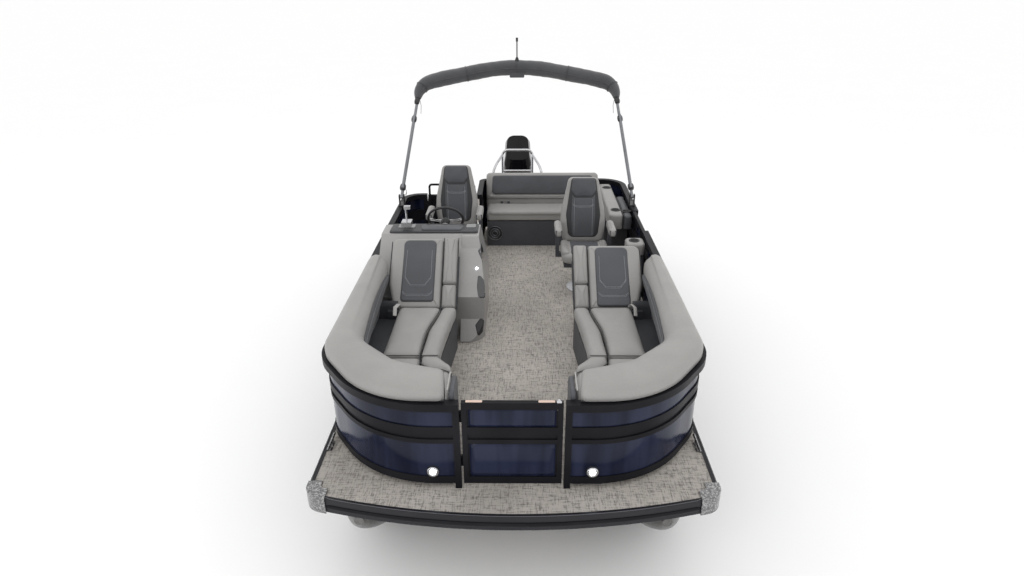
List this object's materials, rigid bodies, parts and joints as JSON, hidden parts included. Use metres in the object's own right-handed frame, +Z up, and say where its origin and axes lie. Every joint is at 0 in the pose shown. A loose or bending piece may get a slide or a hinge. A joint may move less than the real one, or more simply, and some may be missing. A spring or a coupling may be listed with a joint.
{
  "type": "pontoon boat",
  "caption": "Twin-tube pontoon boat with a fenced deck, bow gate, lounges, helm, swivel chairs, folded canvas top, tow bar and a tilted outboard motor.",
  "frame": {"origin": "on the ground under the middle of the boat's box, the tubes' wear strips at Z = 0", "axes": "+Y runs aft from bow to stern, +X to port, +Z up"},
  "size_m": [2.606, 7.3776, 3.0533],
  "materials": {
    "light_vinyl": "soft light grey marine vinyl",
    "woven_floor": "woven vinyl floor covering",
    "mill_aluminium": "brushed mill finish",
    "dark_rail": "satin black coating",
    "blue_panel": "gloss dark blue coating",
    "edge_trim": "satin black coating",
    "casting": "bright cast metal",
    "stainless": "satin stainless tube",
    "anodised": "grey anodised tube",
    "canvas": "charcoal canvas",
    "moulded_base": "charcoal moulded plastic",
    "console_shell": "light grey moulded shell",
    "dash_panel": "dark moulded dash",
    "black_plastic": "black moulded plastic",
    "motor_black": "gloss black shell",
    "motor_leg_paint": "gloss black paint",
    "motor_bracket": "satin black paint",
    "engine": null,
    "propeller_metal": "satin black paint",
    "lamp": "clear lamp"
  },
  "bodies": {
    "boat": {"bow_front_cushions": "light_vinyl", "chair_pedestals": "anodised", "cleats": "stainless", "corner_castings": "casting", "cross_members": "mill_aluminium", "deck": "woven_floor", "deck_edge_trim": "edge_trim", "docking_lights": "lamp", "helm_console": "console_shell", "helm_dash": "dash_panel", "ladder_brackets": "stainless", "motor_clamp": "motor_bracket", "motor_pod": "mill_aluminium", "port_bolster": "light_vinyl", "port_cup_stand": "moulded_base", "port_fence_frame": "dark_rail", "port_fence_panels": "blue_panel", "port_lounge_backrest": "light_vinyl", "port_lounge_base": "moulded_base", "port_tube": "mill_aluminium", "starboard_bolster": "light_vinyl", "starboard_fence_frame": "dark_rail", "starboard_fence_panels": "blue_panel", "starboard_lounge_backrest": "light_vinyl", "starboard_lounge_base": "moulded_base", "starboard_tube": "mill_aluminium", "stern_arm_pads": "light_vinyl", "stern_bench_backrest": "light_vinyl", "stern_bench_base": "moulded_base", "throttle_control": "black_plastic", "top_mounts": "anodised", "tow_bar": "stainless"},
    "bow_gate": {"bow_gate": "dark_rail"},
    "side_gate": {"side_gate": "dark_rail"},
    "stern_gate": {"stern_gate": "dark_rail"},
    "starboard_seat_lid": {"starboard_lounge_seat": "light_vinyl"},
    "port_seat_lid": {"port_lounge_seat": "light_vinyl"},
    "bench_lid": {"stern_bench_seat": "light_vinyl"},
    "helm_wheel": {"steering_wheel": "black_plastic"},
    "captain_chair": {"captain_chair_frame": "black_plastic", "captain_chair_seat": "light_vinyl", "captain_chair_backrest": "light_vinyl"},
    "passenger_chair": {"passenger_chair_frame": "black_plastic", "passenger_chair_seat": "light_vinyl", "passenger_chair_backrest": "light_vinyl"},
    "folding_top": {"top_frame": "anodised", "top_boot": "canvas", "anchor_light": "black_plastic"},
    "ladder": {"boarding_ladder": "stainless"},
    "motor_swivel": {"swivel_bracket": "motor_bracket"},
    "motor_drive": {"motor_leg": "motor_leg_paint", "motor_cowl": "motor_black", "engine_block": "engine"},
    "propeller": {"propeller": "propeller_metal"}
  },
  "joints": [
    {"name": "bow_gate_hinge", "type": "hinge", "parent": "boat", "child": "bow_gate", "pos_m": [-0.312, -3.3928, 1.1125], "axis": [0, 0, 1], "range_deg": [0, 90]},
    {"name": "side_gate_hinge", "type": "hinge", "parent": "boat", "child": "side_gate", "pos_m": [1.274, 0.1212, 1.1125], "axis": [0, 0, 1], "range_deg": [0, 90]},
    {"name": "stern_gate_hinge", "type": "hinge", "parent": "boat", "child": "stern_gate", "pos_m": [-1.02, 0.7502, 1.1125], "axis": [0, 0, 1], "range_deg": [0, 90]},
    {"name": "starboard_seat_hinge", "type": "hinge", "parent": "boat", "child": "starboard_seat_lid", "pos_m": [-0.986, -2.0838, 1.0985], "axis": [0, -1, 0], "range_deg": [0, 70]},
    {"name": "port_seat_hinge", "type": "hinge", "parent": "boat", "child": "port_seat_lid", "pos_m": [0.986, -2.0838, 1.0985], "axis": [0, 1, 0], "range_deg": [0, 70]},
    {"name": "bench_seat_hinge", "type": "hinge", "parent": "boat", "child": "bench_lid", "pos_m": [0.3, 1.1062, 1.226], "axis": [-1, 0, 0], "range_deg": [0, 80]},
    {"name": "captain_swivel", "type": "hinge", "parent": "boat", "child": "captain_chair", "pos_m": [-0.65, 0.0812, 1.07], "axis": [0, 0, 1], "continuous": true},
    {"name": "passenger_swivel", "type": "hinge", "parent": "boat", "child": "passenger_chair", "pos_m": [0.68, -0.4038, 1.07], "axis": [0, 0, 1], "continuous": true},
    {"name": "top_pivot", "type": "hinge", "parent": "boat", "child": "folding_top", "pos_m": [0, 0.3412, 1.525], "axis": [1, 0, 0], "range_deg": [-25, 45]},
    {"name": "ladder_hinge", "type": "hinge", "parent": "boat", "child": "ladder", "pos_m": [-0.82, 2.7532, 0.828], "axis": [-1, 0, 0], "range_deg": [0, 255]},
    {"name": "motor_tilt", "type": "hinge", "parent": "boat", "child": "motor_swivel", "pos_m": [0, 2.6112, 0.768], "axis": [1, 0, 0], "range_deg": [-36, 29]},
    {"name": "motor_steer", "type": "hinge", "parent": "motor_swivel", "child": "motor_drive", "pos_m": [0, 2.70828, 0.83853], "axis": [0, -0.5878, 0.809], "range_deg": [-30, 30]},
    {"name": "propeller_spin", "type": "hinge", "parent": "motor_drive", "child": "propeller", "pos_m": [0, 3.60062, 0.39293], "axis": [0, 0.809, 0.5878], "continuous": true},
    {"name": "helm_turn", "type": "hinge", "parent": "boat", "child": "helm_wheel", "pos_m": [-0.67, -0.6088, 1.6], "axis": [0, 0.848, 0.5299], "range_deg": [-540, 540]}
  ],
  "couplings": [
    {"joint": "helm_turn", "follows": "motor_steer", "ratio": -18}
  ]
}
